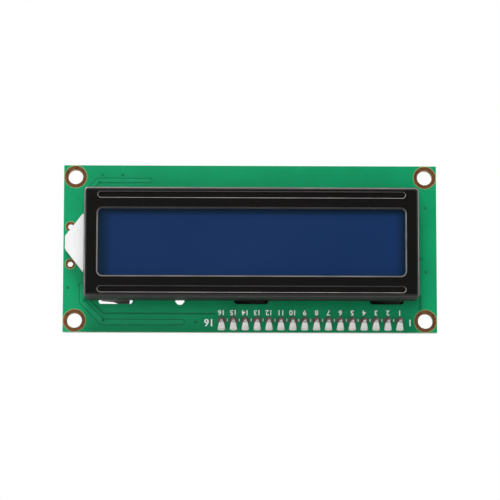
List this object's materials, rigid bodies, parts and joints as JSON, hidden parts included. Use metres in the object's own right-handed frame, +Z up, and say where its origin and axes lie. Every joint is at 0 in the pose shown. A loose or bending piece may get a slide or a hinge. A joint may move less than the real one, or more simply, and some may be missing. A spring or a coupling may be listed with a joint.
{
  "type": "lcd display module",
  "caption": "Two-row character display in a black pressed bezel on a green circuit board, with a small black serial board soldered on behind.",
  "frame": {"origin": "centre of the four corner holes, on the front face of the display board", "axes": "the display faces -Y and +Z is up, with the header edge at the bottom; +X runs along the long side, towards the side header of the serial board"},
  "size_m": [0.0806, 0.0178, 0.036],
  "materials": {
    "green_laminate": "glossy solder mask",
    "black_laminate": "satin black solder mask",
    "bezel_black": "smooth black enamel",
    "screen_film": "dark blue polarising film",
    "glass": "clear sheet glass",
    "white_plastic": "matt white",
    "clear_plastic": "clear acrylic",
    "contact_rubber": "layered silicone",
    "black_plastic": "moulded, slightly glossy",
    "epoxy_blob": "matt epoxy",
    "chip_epoxy": "fine matt moulding",
    "blue_plastic": "glossy moulding",
    "rotor_plastic": "matt off-white",
    "tinned_metal": "bright tin",
    "solder": "smooth solder",
    "copper_pad": "dull bare copper",
    "silicon": "polished",
    "resistor_film": "glazed",
    "ceramic": "fired ceramic",
    "lamp_resin": "milky resin",
    "contact_metal": "bright spring metal"
  },
  "bodies": {
    "module": {"lcd_circuit_board": "green_laminate", "corner_hole_rings": "copper_pad", "tab_slot_pads": "tinned_metal", "backlight_wire_pads": "copper_pad", "bare_component_pads": "tinned_metal", "bezel_frame": "bezel_black", "front_polariser": "screen_film", "front_glass": "glass", "rear_glass": "glass", "rear_polariser": "screen_film", "diffuser_sheet": "white_plastic", "light_guide": "clear_plastic", "reflector_sheet": "white_plastic", "backlight_housing": "white_plastic", "backlight_led": "lamp_resin", "backlight_led_leads": "tinned_metal", "backlight_led_joints": "solder", "upper_contact_rubber": "contact_rubber", "lower_contact_rubber": "contact_rubber", "driver_dies": "silicon", "driver_blob": "epoxy_blob", "second_driver_blob": "epoxy_blob", "lcd_board_resistors": "resistor_film", "lcd_board_resistor_ends": "tinned_metal", "header_pins": "tinned_metal", "header_strip": "black_plastic", "front_solder_joints": "solder", "rear_solder_joints": "solder", "serial_circuit_board": "black_laminate", "expander_chip_body": "chip_epoxy", "expander_chip_leads": "tinned_metal", "trimmer_housing": "blue_plastic", "trimmer_leads": "tinned_metal", "side_header_pins": "tinned_metal", "side_header_strip": "black_plastic", "jumper_header_pins": "contact_metal", "jumper_header_strip": "black_plastic", "serial_underside_joints": "solder", "transistor_body": "chip_epoxy", "transistor_leads": "tinned_metal", "power_light": "lamp_resin", "power_light_ends": "tinned_metal", "serial_board_resistors": "resistor_film", "serial_board_resistor_ends": "tinned_metal", "capacitor": "ceramic", "capacitor_ends": "tinned_metal"},
    "trimmer_dial": {"trimmer_rotor": "rotor_plastic"},
    "jumper": {"jumper_cap": "black_plastic", "jumper_contact": "contact_metal"}
  },
  "joints": [
    {"name": "contrast_turn", "type": "hinge", "parent": "module", "child": "trimmer_dial", "pos_m": [0.0234, 0.0102, -0.0085], "axis": [0, 1, 0], "range_deg": [-130, 130]},
    {"name": "jumper_pull", "type": "slide", "parent": "module", "child": "jumper", "axis": [-1, 0, 0], "range_m": [0, 0.0065]}
  ]
}
